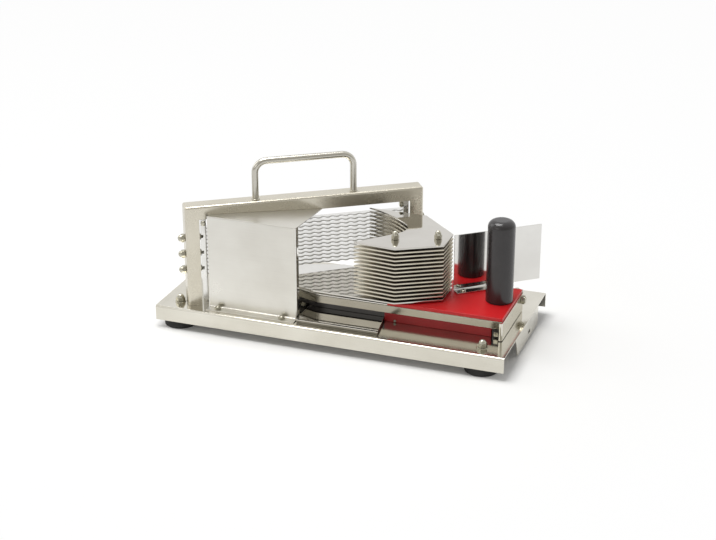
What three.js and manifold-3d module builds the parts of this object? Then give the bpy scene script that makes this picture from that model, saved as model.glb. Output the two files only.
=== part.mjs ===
// Hand tomato slicer: a diagonal pack of horizontal blades in a portal frame, and a sliding pusher
// whose stacked plates pass between the blades. Millimetres, +Z up, +X towards the grip, +Y to the back.
// The origin is on the ground under the middle of the base tray.
import * as THREE from 'three';
import { mergeVertices } from 'three/addons/utils/BufferGeometryUtils.js';
import Module from 'manifold-3d';

const wasm = await Module();
wasm.setup();

// Clearances: between pieces that touch, between pieces that slide, and past a face that is cut through
const seat = 0.3;
const running = 0.3;
const past = 1;

// Base tray and feet
const baseLength = 430;
const baseWidth = 195;
const footHeight = 9.4;
const flangeDepth = 18.6;
const baseSheet = 1.5;
const baseTop = footHeight + flangeDepth;
const endFlangeDepth = 25;
const endFlangeFront = -46;
const endFlangeBack = 60;
const endFlangeSlant = 12;
const endSlotY = 18;
const endSlotDrop = 19;
const endSlotWidth = 9;
const endSlotHeight = 4;
const leftFootX = -191.5;
const rightFootX = 184;
const footY = 77;
const footRadius = 20;
const footEdge = 2;
const footNeckRadius = 11;
const footNeckStart = 12.5;
const footBore = 3.5;
const footBoreStart = 13;
const footStud = 13;

// Bolts: domed nuts at the feet and the left tension bolts, low heads at the right ones
const footNut = { across: 10, high: 5, dome: 5, domeRadius: 4.4 };
const tensionNut = { across: 9, high: 4, dome: 4, domeRadius: 4 };
const tensionHead = { across: 9, high: 2.4, dome: 0.6, domeRadius: 4 };
const studRadius = 3;
const studHole = 3.5;

// Blade frame, in its own turned axes: along the blades, through the frame, up from the base
const frameAngle = THREE.MathUtils.degToRad(34.3);
const frameCorner = new THREE.Vector3(-176, -87, baseTop);
const frameLength = 290;
const frameHeight = 125;
const frameDepth = 19;
const frameFace = 16.6;
const frameBeam = 16.5;
const frameSheet = 2.5;

// Blades and the pusher plates that pass between them
const pitch = 4.8;
const bladeCount = 13;
const lowestBlade = 36.9;
const bladeThickness = 0.5;
const bladeFront = 5;
const bladeWidth = 12;
const waveCount = 22;
const waveDepth = 2.8;
const plateCount = 15;
const plateThickness = 2;
const lowestPlate = lowestBlade - 1.5 * pitch;

// Blade holders and the tension bolts
const holderGap = 1.6;
const holderFront = 1;
const holderWidth = 6.4;
const holderDepth = 16;
const holderHeight = 108;
const holderGrip = 3;
const holderLip = 3.5;
const holderMargin = 3.4;
const windowSize = [2.8, 6, 4];
const windowHeights = [45, 65, 85];
const pocketHalf = 4;
const pocketDepth = 2.4;
const studEntry = 1.5;
const boltHeights = [44, 64, 84];

// Carrying handle
const handleSpan = 119;
const handleMiddle = 145.5;
const handleRise = 46.5;
const handleRadius = 4;
const handleBend = 14;
const handleSteps = 36;

// Front guard
const guardSheet = 1.2;
const guardLeft = -152;
const guardRight = -40;
const guardFace = -77.7;
const guardHeight = 115;
const guardFlange = 13;
const guardReturn = 6;
const coverSlope = 0.07;

// Table: a rail frame of angle section under a plate, on a block and an end bracket
const railBottom = 10.9;
const railTop = 20.2;
const railInset = 1;
const railThickness = 3;
const ledgeTop = 21.3;
const ledgeInset = 2;
const ledgeWidth = 12;
const ledgeThickness = 1.6;
const tableFront = -48.5;
const tableBack = 46.5;
const tableLeft = -78;
const tableRight = 199;
const tableCorner = [50, 17];
const deckSheet = 1.2;
const slotHalf = 5.3;
const slotStart = 7;
const slotEnd = 195.5;
const blockLeft = 57;
const blockRight = 186;
const blockInset = 1;
const skirtStart = 30;
const bracketSheet = 2;
const bracketFront = -56.6;
const bracketBack = 36.3;
const bracketTop = 22.5;
const bracketReturn = 4;
const stripLeft = -38.5;
const stripEnd = 62.5;
const stripFront = -87;
const stripBack = -33;
const stripHeight = 4.2;
const stripSheet = 1.5;
const stripRecess = 7;

// Carriage: board, guide key and retainer, grip and hand guard
const boardLeft = 62;
const boardRight = 200;
const boardFront = -52.5;
const boardBack = 37;
const boardThickness = 4.2;
const keyLeft = 152;
const keyRight = 194.5;
const keyDrop = 0.6;
const retainerHalf = 13;
const retainerThickness = 4;
const gripX = 182.5;
const gripY = -3;
const gripRadius = 16;
const gripHeight = 100;
const gripEdge = 1.2;
const gripShoulder = 11;
const handGuardAngle = THREE.MathUtils.degToRad(39.2);
const handGuardCorner = [125.1, 4.5];
const handGuardLength = 111;
const handGuardHeight = 70;
const handGuardFoot = 12;
const handGuardFootLength = 60;
const handGuardSheet = 1.5;

// Pusher plate outline in plan: round the back from the front prong's tip, then along the notch
const plateCorners = [[22, -55.5], [73, -60], [122.7, -31], [123, 6], [75, 53.5], [2, 55.5]];
const notchCurves = [{ bend: [34, 46], end: [61, 18] }, { bend: [73, 4], end: [60, -14] }];

// Bed plate, the lowest of the stack, in plan: it carries the tomato and ends in front of the blades
const bedCorners = [
  [-70, -48.7], [-28, -57.4], [73, -60], [122.7, -31], [123, 6], [75, 53.5], [31.8, 55.5], [-70, -25.5],
];

// Pusher pins
const pinPlaces = [[64, -31], [110, -12.7]];
const pinRadius = 3;
const pinHole = 3.5;
const pinGap = 0.15;
const collarRadius = 4.5;
const nutProfile = [[4.6, 0], [4.6, 4.2], [3.9, 4.7], [3.2, 7.6], [1.8, 9.4], [0, 10]];

// Heights that follow from the values above
const deckBottom = baseTop + ledgeTop;
const deckTop = deckBottom + deckSheet;
const boardBottom = deckTop + running;
const boardTop = boardBottom + boardThickness;

const steel = new THREE.MeshStandardMaterial({ color: 0xc9c6bd, roughness: 0.32, metalness: 1 });
const polished = new THREE.MeshStandardMaterial({ color: 0xdadada, roughness: 0.1, metalness: 1 });
const redBoard = new THREE.MeshStandardMaterial({ color: 0xc4161c, roughness: 0.45, metalness: 0 });
const blackGrip = new THREE.MeshStandardMaterial({ color: 0x262525, roughness: 0.4, metalness: 0 });
const blackRubber = new THREE.MeshStandardMaterial({ color: 0x161616, roughness: 0.8, metalness: 0 });

const slicer = new THREE.Group();
const bladeFrame = new THREE.Group();
bladeFrame.position.copy(frameCorner);
bladeFrame.rotation.z = frameAngle;
const carriage = new THREE.Group();
slicer.add(bladeFrame, carriage);

// Shape helpers
function box(x0, x1, y0, y1, z0, z1) {
  const geometry = new THREE.BoxGeometry(x1 - x0, y1 - y0, z1 - z0);
  return geometry.translate((x0 + x1) / 2, (y0 + y1) / 2, (z0 + z1) / 2);
}

function outline(points) {
  return new THREE.Shape(points.map(([x, y]) => new THREE.Vector2(x, y)));
}

function disc(x, y, radius, sides = 8) {
  const turns = Array.from({ length: sides }, (_, i) => (i / sides) * Math.PI * 2);
  return outline(turns.map((turn) => [x + radius * Math.cos(turn), y + radius * Math.sin(turn)]));
}

function prism(shape, z0, z1) {
  const geometry = new THREE.ExtrudeGeometry(shape, { depth: z1 - z0, bevelEnabled: false, curveSegments: 5 });
  return geometry.translate(0, 0, z0);
}

function lathe(profile, sides) {
  const geometry = new THREE.LatheGeometry(profile.map(([r, z]) => new THREE.Vector2(r, z)), sides);
  return geometry.rotateX(Math.PI / 2);
}

// A closed solid for joining and cutting, with shared corners merged and empty triangles dropped
function solid(source) {
  const bare = source.clone();
  bare.deleteAttribute('normal');
  bare.deleteAttribute('uv');
  const merged = mergeVertices(bare, 1e-4);
  const index = merged.index.array;
  const triangles = [];
  for (let i = 0; i < index.length; i += 3) {
    const [a, b, c] = [index[i], index[i + 1], index[i + 2]];
    if (a !== b && b !== c && c !== a) triangles.push(a, b, c);
  }
  const vertProperties = new Float32Array(merged.attributes.position.array);
  return new wasm.Manifold(new wasm.Mesh({ numProp: 3, vertProperties, triVerts: new Uint32Array(triangles) }));
}

function joined(...sources) {
  return sources.map(solid).reduce((whole, piece) => whole.add(piece));
}

function cut(whole, ...sources) {
  return sources.map(solid).reduce((rest, piece) => rest.subtract(piece), whole);
}

function geometryOf(manifold) {
  const result = manifold.getMesh();
  const geometry = new THREE.BufferGeometry();
  geometry.setAttribute('position', new THREE.BufferAttribute(result.vertProperties, 3));
  geometry.setIndex(new THREE.BufferAttribute(result.triVerts, 1));
  geometry.computeVertexNormals();
  return geometry;
}

function place(group, name, geometry, material) {
  const mesh = new THREE.Mesh(geometry, material);
  mesh.name = name;
  group.add(mesh);
  return mesh;
}

function numbered(name, i) {
  return `${name}_${String(i + 1).padStart(2, '0')}`;
}

// Hex bolt with a rounded top, head upwards from z = 0 and stud downwards
function domedBolt({ across, high, dome, domeRadius }, studLength) {
  const corner = across / Math.sqrt(3);
  const head = new THREE.CylinderGeometry(corner, corner, high, 6);
  head.rotateX(Math.PI / 2).translate(0, 0, high / 2);
  const top = lathe([
    [0, high - past], [domeRadius, high - past], [domeRadius, high + dome * 0.2],
    [domeRadius * 0.68, high + dome * 0.76], [0, high + dome],
  ], 8);
  const stud = lathe([[0, -studLength], [studRadius, -studLength], [studRadius, past], [0, past]], 8);
  return geometryOf(joined(head, top, stud));
}

// Base tray: the end flanges are short and a little deeper, and the right one has a small slot
const halfLength = baseLength / 2;
const halfWidth = baseWidth / 2;
const footCorners = [
  ['front_left', leftFootX, -footY],
  ['front_right', rightFootX, -footY],
  ['rear_left', leftFootX, footY],
  ['rear_right', rightFootX, footY],
];
const innerLength = halfLength - baseSheet;
const innerWidth = halfWidth - baseSheet;
const sheetBottom = baseTop - baseSheet;
const endFlange = outline([
  [endFlangeFront, 0], [endFlangeFront + endFlangeSlant, -endFlangeDepth],
  [endFlangeBack, -endFlangeDepth], [endFlangeBack, 0],
]);
const endFlanges = [-halfLength, innerLength].map((x) => (
  prism(endFlange, 0, baseSheet).rotateX(Math.PI / 2).rotateZ(Math.PI / 2).translate(x, 0, baseTop)
));
const channel = cut(
  solid(box(-halfLength, halfLength, -halfWidth, halfWidth, footHeight, baseTop)),
  box(-halfLength - past, halfLength + past, -innerWidth, innerWidth, footHeight - past, sheetBottom),
);
const endSlotTop = baseTop - endSlotDrop + endSlotHeight;
const endSlot = box(
  innerLength - past, halfLength + past, endSlotY - endSlotWidth / 2, endSlotY + endSlotWidth / 2,
  endSlotTop - endSlotHeight, endSlotTop,
);
const tray = cut(
  channel.add(joined(...endFlanges)),
  endSlot,
  ...footCorners.map(([, x, y]) => prism(disc(x, y, studHole), sheetBottom - past, baseTop + past)),
);
place(slicer, 'base_tray', geometryOf(tray), steel);

// Feet on domed bolts through the tray
const footShape = lathe([
  [0, 0], [footRadius - footEdge, 0], [footRadius, footEdge], [footRadius - footEdge / 2, footHeight - seat],
  [footNeckRadius, footNeckStart], [footNeckRadius, sheetBottom], [footBore, sheetBottom],
  [footBore, footBoreStart], [0, footBoreStart],
], 16);
for (const [corner, x, y] of footCorners) {
  place(slicer, `rubber_foot_${corner}`, footShape.clone(), blackRubber).position.set(x, y, 0);
  place(slicer, `foot_bolt_${corner}`, domedBolt(footNut, footStud), steel).position.set(x, y, baseTop);
}

// Portal frame: a flat face with a deep outer rim, open towards the base
const boltMiddle = frameDepth / 2;
const endHoles = [0, frameLength].flatMap((end) => boltHeights.map((z) => {
  const hole = prism(disc(0, 0, studHole), -frameSheet - past, frameSheet + past);
  return hole.rotateY(Math.PI / 2).translate(end, boltMiddle, z);
}));
const portal = cut(
  solid(box(0, frameLength, 0, frameDepth, 0, frameHeight)),
  box(frameSheet, frameLength - frameSheet, frameSheet, frameDepth + past, -past, frameHeight - frameSheet),
  box(frameFace, frameLength - frameFace, -past, frameDepth, -past, frameHeight - frameBeam),
  ...endHoles,
);
place(bladeFrame, 'blade_frame', geometryOf(portal), steel);

// Blade holders: upright bars with a lip in front of the blade ends and three small windows
const leftHolder = frameFace + holderGap;
const rightHolder = frameLength - leftHolder;
const highestBlade = lowestBlade + (bladeCount - 1) * pitch;
const bladeZone = [lowestBlade - holderMargin, highestBlade + holderMargin];
const [windowWide, windowDeep, windowHigh] = windowSize;
function holder(outerEdge, inward) {
  const ends = (from, to) => [outerEdge + inward * from, outerEdge + inward * to].sort((a, b) => a - b);
  const back = holderFront + holderDepth;
  const lipBack = holderFront + holderLip;
  const windowBack = holderFront + windowDeep;
  const pocket = [boltMiddle - pocketHalf, boltMiddle + pocketHalf];
  return geometryOf(cut(
    solid(box(...ends(0, holderWidth), holderFront, back, 0, holderHeight)),
    box(...ends(holderWidth - holderGrip, holderWidth + past), lipBack, back + past, ...bladeZone),
    ...windowHeights.map((z) => box(...ends(-past, windowWide), 0, windowBack, z, z + windowHigh)),
    ...boltHeights.map((z) => box(...ends(-past, pocketDepth), ...pocket, z - pocketHalf, z + pocketHalf)),
  ));
}
place(bladeFrame, 'blade_holder_left', holder(leftHolder, 1), steel);
place(bladeFrame, 'blade_holder_right', holder(rightHolder, -1), steel);

// Tension bolts through the frame's ends into the holders
const tensionStud = leftHolder + studEntry;
boltHeights.forEach((z, i) => {
  const left = place(bladeFrame, `tension_bolt_left_${i + 1}`, domedBolt(tensionNut, tensionStud), steel);
  left.rotation.y = -Math.PI / 2;
  left.position.set(-seat, boltMiddle, z);
  const right = place(bladeFrame, `tension_bolt_right_${i + 1}`, domedBolt(tensionHead, tensionStud), steel);
  right.rotation.y = Math.PI / 2;
  right.position.set(frameLength + seat, boltMiddle, z);
});

// Blades: thin strips with a waved cutting edge towards the pusher
const bladeStart = leftHolder + holderWidth - holderGrip + seat;
const bladeEnd = frameLength - bladeStart;
const bladeShape = outline([[bladeStart, bladeFront + bladeWidth], [bladeStart, bladeFront + waveDepth]]);
const wave = (bladeEnd - bladeStart) / waveCount;
for (let i = 0; i < waveCount; i += 1) {
  const start = bladeStart + i * wave;
  bladeShape.lineTo(start + wave / 2, bladeFront);
  bladeShape.lineTo(start + wave, bladeFront + waveDepth);
}
bladeShape.lineTo(bladeEnd, bladeFront + bladeWidth);
bladeShape.closePath();
for (let i = 0; i < bladeCount; i += 1) {
  const middle = lowestBlade + i * pitch;
  const blade = prism(bladeShape, middle - bladeThickness / 2, middle + bladeThickness / 2);
  place(bladeFrame, numbered('blade', i), blade, polished);
}

// Carrying handle: one bent rod standing on the frame's top
const handleFoot = frameHeight + seat;
const handleTop = frameHeight + handleRise;
const [handleLeft, handleRight] = [handleMiddle - handleSpan / 2, handleMiddle + handleSpan / 2];
const at = (s, z) => new THREE.Vector3(s, boltMiddle, z);
const legTop = handleTop - handleBend;
const rod = new THREE.CurvePath();
rod.add(new THREE.LineCurve3(at(handleLeft, handleFoot), at(handleLeft, legTop)));
rod.add(new THREE.QuadraticBezierCurve3(
  at(handleLeft, legTop), at(handleLeft, handleTop), at(handleLeft + handleBend, handleTop),
));
rod.add(new THREE.LineCurve3(at(handleLeft + handleBend, handleTop), at(handleRight - handleBend, handleTop)));
rod.add(new THREE.QuadraticBezierCurve3(
  at(handleRight - handleBend, handleTop), at(handleRight, handleTop), at(handleRight, legTop),
));
rod.add(new THREE.LineCurve3(at(handleRight, legTop), at(handleRight, handleFoot)));
const handle = new THREE.ExtrudeGeometry(
  disc(0, 0, handleRadius, 10), { steps: handleSteps, extrudePath: rod, bevelEnabled: false },
);
place(bladeFrame, 'carry_handle', handle, polished);

// Front guard: upright panel with a foot flange, a return edge and a cover that falls gently to the frame's face
const coverGap = seat / Math.cos(frameAngle);
const frameFaceY = (x) => frameCorner.y + (x - frameCorner.x) * Math.tan(frameAngle) - coverGap;
const guardTop = baseTop + guardHeight;
const guardFront = guardFace - guardSheet;
const cover = prism(outline([
  [guardLeft, guardFront], [guardRight, guardFront],
  [guardRight, frameFaceY(guardRight)], [guardLeft, frameFaceY(guardLeft)],
]), guardTop - guardSheet, guardTop);
const fall = new THREE.Matrix4().set(1, 0, 0, 0, 0, 1, 0, 0, 0, -coverSlope, 1, coverSlope * guardFront, 0, 0, 0, 1);
cover.applyMatrix4(fall);
const guard = joined(
  box(guardLeft, guardRight, guardFront, guardFace, baseTop, guardTop),
  box(guardLeft, guardRight, guardFace - guardFlange, guardFace, baseTop, baseTop + guardSheet),
  box(guardRight - guardSheet, guardRight, guardFront, guardFace + guardReturn, baseTop, guardTop),
  cover,
);
place(slicer, 'front_guard', geometryOf(guard), polished);

// Table outline with its two left corners cut off, drawn in from the edge by a given amount
function tableOutline(inset) {
  const [along, across] = tableCorner;
  const slope = Math.hypot(along, across);
  const left = tableLeft + inset;
  const front = tableFront + inset;
  const back = tableBack - inset;
  const cornerX = tableLeft + along + (inset * (slope - across)) / along;
  const cornerY = across + (inset * (slope - along)) / across - inset;
  return outline([
    [tableRight, front], [tableRight, back], [cornerX, back], [left, back - cornerY],
    [left, front + cornerY], [cornerX, front],
  ]);
}

// Rail frame: an upright strip round the front, left and back, with a ledge that carries the plate
// and a skirt round the back, left of the block, that stands on the base
function band(outerInset, width, z0, z1) {
  const inner = tableOutline(outerInset + width);
  return cut(solid(prism(tableOutline(outerInset), z0, z1)), prism(inner, z0 - past, z1 + past));
}
const rails = band(railInset, railThickness, baseTop + railBottom, baseTop + railTop);
const ledge = band(ledgeInset, ledgeWidth, deckBottom - ledgeThickness, deckBottom);
const skirt = band(railInset, railThickness, baseTop, baseTop + railTop).intersect(solid(box(
  tableLeft, blockLeft - seat, skirtStart, tableBack, baseTop - past, baseTop + railTop + past,
)));
place(slicer, 'table_rail', geometryOf(rails.add(ledge).add(skirt)), steel);

const deckShape = tableOutline(0);
deckShape.holes.push(outline([
  [slotStart, -slotHalf], [slotEnd, -slotHalf], [slotEnd, slotHalf], [slotStart, slotHalf],
]));
place(slicer, 'table_plate', prism(deckShape, deckBottom, deckTop), polished);

const block = box(
  blockLeft, blockRight, tableFront + blockInset, tableBack - blockInset, baseTop, baseTop + railBottom,
);
place(slicer, 'support_block', block, redBoard);

// Bed strip: a low polished sheet along the table's front, left of the block, on a foot that is set back
const bedStrip = outline([
  [stripLeft, stripFront], [stripEnd, stripFront], [blockLeft - seat, tableFront], [blockLeft - seat, stripBack],
  [stripLeft, stripBack],
]);
const stripFoot = box(
  stripLeft + stripRecess, blockLeft - stripRecess, stripFront + stripRecess, stripBack, baseTop, baseTop + stripHeight,
);
const stripTop = prism(bedStrip, baseTop + stripHeight - stripSheet, baseTop + stripHeight);
place(slicer, 'bed_strip', geometryOf(joined(stripTop, stripFoot)), polished);

// End bracket: an upright plate across the table's end, with a return edge at the front
const bracketX = tableRight + seat;
const bracketOuter = bracketX + bracketSheet;
const bracket = joined(
  box(bracketX, bracketOuter, bracketFront, bracketBack, baseTop, baseTop + bracketTop),
  box(
    bracketOuter - bracketReturn, bracketOuter, bracketFront, bracketFront + bracketSheet,
    baseTop, baseTop + bracketTop,
  ),
);
place(slicer, 'end_bracket', geometryOf(bracket), steel);

// Carriage board with its guide key in the table's slot and a retainer below the plate
place(
  carriage, 'carriage_board',
  box(boardLeft, boardRight, boardFront, boardBack, boardBottom, boardTop), redBoard,
);
const keyHalf = slotHalf - running;
const keyBottom = deckBottom - keyDrop;
place(carriage, 'guide_key', box(keyLeft, keyRight, -keyHalf, keyHalf, keyBottom, boardBottom), steel);
place(
  carriage, 'retainer_plate',
  box(keyLeft, keyRight, -retainerHalf, retainerHalf, keyBottom - retainerThickness, keyBottom), steel,
);

// Pusher plates: a whole bed plate under two prongs round a rounded notch that holds the tomato
const plateShape = outline(plateCorners);
notchCurves.forEach(({ bend, end }) => plateShape.quadraticCurveTo(...bend, ...end));
plateShape.closePath();
const bedShape = outline(bedCorners);
for (const shape of [bedShape, plateShape]) {
  pinPlaces.forEach(([x, y]) => shape.holes.push(disc(x, y, pinHole)));
}
const plateMiddle = (i) => baseTop + lowestPlate + i * pitch;
for (let i = 0; i < plateCount; i += 1) {
  const shape = i === 0 ? bedShape : plateShape;
  const plate = prism(shape, plateMiddle(i) - plateThickness / 2, plateMiddle(i) + plateThickness / 2);
  place(carriage, numbered('pusher_plate', i), plate, polished);
}

// Pusher pins: a collar between every two plates and a domed nut on top
const neckHalf = plateThickness / 2 + pinGap;
const pinProfile = [[0, boardTop], [collarRadius, boardTop]];
for (let i = 0; i < plateCount; i += 1) {
  const under = plateMiddle(i) - neckHalf;
  const over = plateMiddle(i) + neckHalf;
  pinProfile.push([collarRadius, under], [pinRadius, under], [pinRadius, over], [collarRadius, over]);
}
const nutBase = plateMiddle(plateCount - 1) + neckHalf;
pinProfile.push(...nutProfile.map(([r, z]) => [r, nutBase + z]));
const pin = lathe(pinProfile, 8);
['front', 'rear'].forEach((name, i) => {
  place(carriage, `pusher_pin_${name}`, pin.clone(), steel).position.set(...pinPlaces[i], 0);
});

// Grip: a straight turned bar with a rounded top
const gripProfile = [[0, 0], [gripRadius - gripEdge, 0], [gripRadius, gripEdge]];
const shoulderSteps = 5;
for (let i = 0; i < shoulderSteps; i += 1) {
  const turn = (i / shoulderSteps) * (Math.PI / 2);
  const inset = gripShoulder * (1 - Math.cos(turn));
  gripProfile.push([gripRadius - inset, gripHeight - gripShoulder * (1 - Math.sin(turn))]);
}
gripProfile.push([0, gripHeight]);
place(carriage, 'grip', lathe(gripProfile, 24), blackGrip).position.set(gripX, gripY, boardTop);

// Hand guard: an upright plate on a foot flange turned towards the grip
const handGuardGroup = new THREE.Group();
handGuardGroup.position.set(...handGuardCorner, boardTop + seat);
handGuardGroup.rotation.z = handGuardAngle;
carriage.add(handGuardGroup);
const handGuard = joined(
  box(0, handGuardLength, 0, handGuardSheet, 0, handGuardHeight),
  box(0, handGuardFootLength, -handGuardFoot, handGuardSheet, 0, handGuardSheet),
);
place(handGuardGroup, 'hand_guard', geometryOf(handGuard), polished);

export default slicer;
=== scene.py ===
import math

import bmesh
import bpy
from mathutils import Matrix, Vector


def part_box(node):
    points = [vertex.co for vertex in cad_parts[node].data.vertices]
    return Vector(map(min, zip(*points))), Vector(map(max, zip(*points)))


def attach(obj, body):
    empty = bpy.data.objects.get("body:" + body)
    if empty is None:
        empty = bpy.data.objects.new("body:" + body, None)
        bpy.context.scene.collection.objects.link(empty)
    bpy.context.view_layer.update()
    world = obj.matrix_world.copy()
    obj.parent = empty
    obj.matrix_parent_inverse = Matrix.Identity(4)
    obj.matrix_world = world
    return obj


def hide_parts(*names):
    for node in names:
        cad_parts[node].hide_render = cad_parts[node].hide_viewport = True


# Hand tomato slicer. The row frame is in metres: +X towards the grip, +Y to the back, +Z up.
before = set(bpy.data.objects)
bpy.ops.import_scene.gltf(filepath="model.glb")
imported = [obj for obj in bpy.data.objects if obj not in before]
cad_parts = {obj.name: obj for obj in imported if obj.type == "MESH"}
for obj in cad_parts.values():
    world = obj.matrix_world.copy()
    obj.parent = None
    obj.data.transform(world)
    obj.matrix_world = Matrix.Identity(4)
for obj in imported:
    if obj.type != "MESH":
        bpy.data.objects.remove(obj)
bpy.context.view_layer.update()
scene = bpy.context.scene
scene.view_settings.view_transform = "Standard"
mm = 0.001
metre = 1 / mm

# Camera, at the angle that the base's corners give
shot = {
    "azimuth": 19.92, "elevation": 22.99, "distance": 1911.6, "target": (7.1, 0.0, 66.5),
    "lens": 80.45, "sensor": 36.0, "reach": 100.0,
}


def placeCamera():
    turn, rise = math.radians(shot["azimuth"]), math.radians(shot["elevation"])
    away = Vector((math.sin(turn) * math.cos(rise), -math.cos(turn) * math.cos(rise), math.sin(rise)))
    data = bpy.data.cameras.new("studio_camera")
    data.lens = shot["lens"]
    data.sensor_width = shot["sensor"]
    data.sensor_fit = "HORIZONTAL"
    data.clip_end = shot["reach"]
    camera = bpy.data.objects.new("studio_camera", data)
    scene.collection.objects.link(camera)
    camera.location = (Vector(shot["target"]) + away * shot["distance"]) * mm
    camera.rotation_euler = away.to_track_quat("Z", "Y").to_euler()
    scene.camera = camera


placeCamera()
print("camera placed")


# Colours are written as sRGB hex and used as linear light
def linear(colour):
    levels = [int(colour[i:i + 2], 16) / 255 for i in (1, 3, 5)]
    return tuple(v / 12.92 if v <= 0.04045 else ((v + 0.055) / 1.055) ** 2.4 for v in levels) + (1.0,)


# Adds one node: settings are sockets by name or number, or properties, and links are sockets fed by outputs
def addNode(tree, kind, settings=None, links=None):
    node = tree.nodes.new(kind)
    for key, value in (settings or {}).items():
        if key == "stops":
            ramp = node.color_ramp.elements
            for i, (position, colour) in enumerate(value):
                stop = ramp[i] if i < 2 else ramp.new(position)
                stop.position = position
                stop.color = linear(colour)
        elif isinstance(key, int) or key in node.inputs:
            node.inputs[key].default_value = value
        else:
            setattr(node, key, value)
    for key, source in (links or {}).items():
        tree.links.new(source, node.inputs[key])
    return node


# An empty node tree for a material or the world
def emptyTree(owner):
    owner.use_nodes = True
    owner.node_tree.nodes.clear()
    return owner.node_tree


def startMaterial(name):
    material = bpy.data.materials.new(name)
    tree = emptyTree(material)
    surface = addNode(tree, "ShaderNodeBsdfPrincipled")
    addNode(tree, "ShaderNodeOutputMaterial", links={"Surface": surface.outputs[0]})
    return material, tree, surface


# Stainless steel, rolled, brushed or polished: fine streaks along the grain break up what it mirrors,
# broad clouds are finger smudges, and a long shallow warp bends reflections in thin sheet.
# Grain is in mm and drawn wider than the real grit of about 0.1 mm so that it shows.
steelPattern = {
    "detail": 3.0, "fineness": 0.6, "tones": (0.35, 0.95), "gloss": (0.3, 1.0), "brushDepth": 0.02,
}


def stainless(look):
    material, tree, surface = startMaterial(look["name"])
    place = addNode(tree, "ShaderNodeTexCoord").outputs["Object"]
    along, across = look["grain"]
    stretch = (metre / along, metre / across, metre / across)
    turn = math.radians(look.get("turn", 0))
    mapping = addNode(
        tree, "ShaderNodeMapping", {"vector_type": "TEXTURE", "Rotation": (0, 0, turn)}, {"Vector": place},
    )
    scaled = addNode(
        tree, "ShaderNodeVectorMath", {"operation": "MULTIPLY", 1: stretch}, {0: mapping.outputs[0]},
    )
    grain = addNode(
        tree, "ShaderNodeTexNoise",
        {"Scale": 1.0, "Detail": steelPattern["detail"], "Roughness": steelPattern["fineness"]},
        {0: scaled.outputs[0]},
    )
    cloud = addNode(
        tree, "ShaderNodeTexNoise", {"Scale": metre / look["cloud"], "Detail": steelPattern["detail"]},
        {0: place},
    )
    blendIn = addNode(
        tree, "ShaderNodeMath", {"operation": "MULTIPLY_ADD", 1: look["streak"], "use_clamp": True},
        {0: grain.outputs[0], 2: cloud.outputs[0]},
    )
    stops = list(zip(steelPattern["tones"], (look["colour"], look["shade"])))
    colour = addNode(tree, "ShaderNodeValToRGB", {"stops": stops}, {0: blendIn.outputs[0]})
    rough = addNode(
        tree, "ShaderNodeMapRange",
        {"From Min": steelPattern["gloss"][0], "From Max": steelPattern["gloss"][1],
         "To Min": look["roughness"][0], "To Max": look["roughness"][1]},
        {"Value": blendIn.outputs[0]},
    )
    warp = addNode(tree, "ShaderNodeTexNoise", {"Scale": metre / look["warp"], "Detail": 0.0}, {0: place})
    bent = addNode(
        tree, "ShaderNodeBump", {"Strength": 1.0, "Distance": look["warpDepth"] * mm},
        {"Height": warp.outputs[0]},
    )
    brushed = addNode(
        tree, "ShaderNodeBump", {"Strength": look["bump"], "Distance": steelPattern["brushDepth"] * mm},
        {"Height": grain.outputs[0], "Normal": bent.outputs[0]},
    )
    surface.inputs["Metallic"].default_value = 1.0
    surface.inputs["Anisotropic"].default_value = look.get("anisotropic", 0.0)
    tree.links.new(colour.outputs[0], surface.inputs["Base Color"])
    tree.links.new(rough.outputs[0], surface.inputs["Roughness"])
    tree.links.new(brushed.outputs[0], surface.inputs["Normal"])
    return material


# Plastics and rubber: a moulded skin whose grain breaks the gloss, with slight colour change
mouldPattern = {
    "detail": 4.0, "fineness": 0.6, "cloudDetail": 2.0, "tones": (0.3, 0.75), "gloss": (0.3, 0.7),
}


def moulded(look):
    material, tree, surface = startMaterial(look["name"])
    place = addNode(tree, "ShaderNodeTexCoord").outputs["Object"]
    grain = addNode(
        tree, "ShaderNodeTexNoise",
        {"Scale": metre / look["grain"], "Detail": mouldPattern["detail"],
         "Roughness": mouldPattern["fineness"]},
        {0: place},
    )
    cloud = addNode(
        tree, "ShaderNodeTexNoise", {"Scale": metre / look["cloud"], "Detail": mouldPattern["cloudDetail"]},
        {0: place},
    )
    stops = list(zip(mouldPattern["tones"], (look["colour"], look["shade"])))
    colour = addNode(tree, "ShaderNodeValToRGB", {"stops": stops}, {0: cloud.outputs[0]})
    rough = addNode(
        tree, "ShaderNodeMapRange",
        {"From Min": mouldPattern["gloss"][0], "From Max": mouldPattern["gloss"][1],
         "To Min": look["roughness"][0], "To Max": look["roughness"][1]},
        {"Value": grain.outputs[0]},
    )
    skin = addNode(
        tree, "ShaderNodeBump", {"Strength": look["bump"], "Distance": look["grainDepth"] * mm},
        {"Height": grain.outputs[0]},
    )
    surface.inputs["IOR"].default_value = look["ior"]
    tree.links.new(colour.outputs[0], surface.inputs["Base Color"])
    tree.links.new(rough.outputs[0], surface.inputs["Roughness"])
    tree.links.new(skin.outputs[0], surface.inputs["Normal"])
    return material


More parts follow.
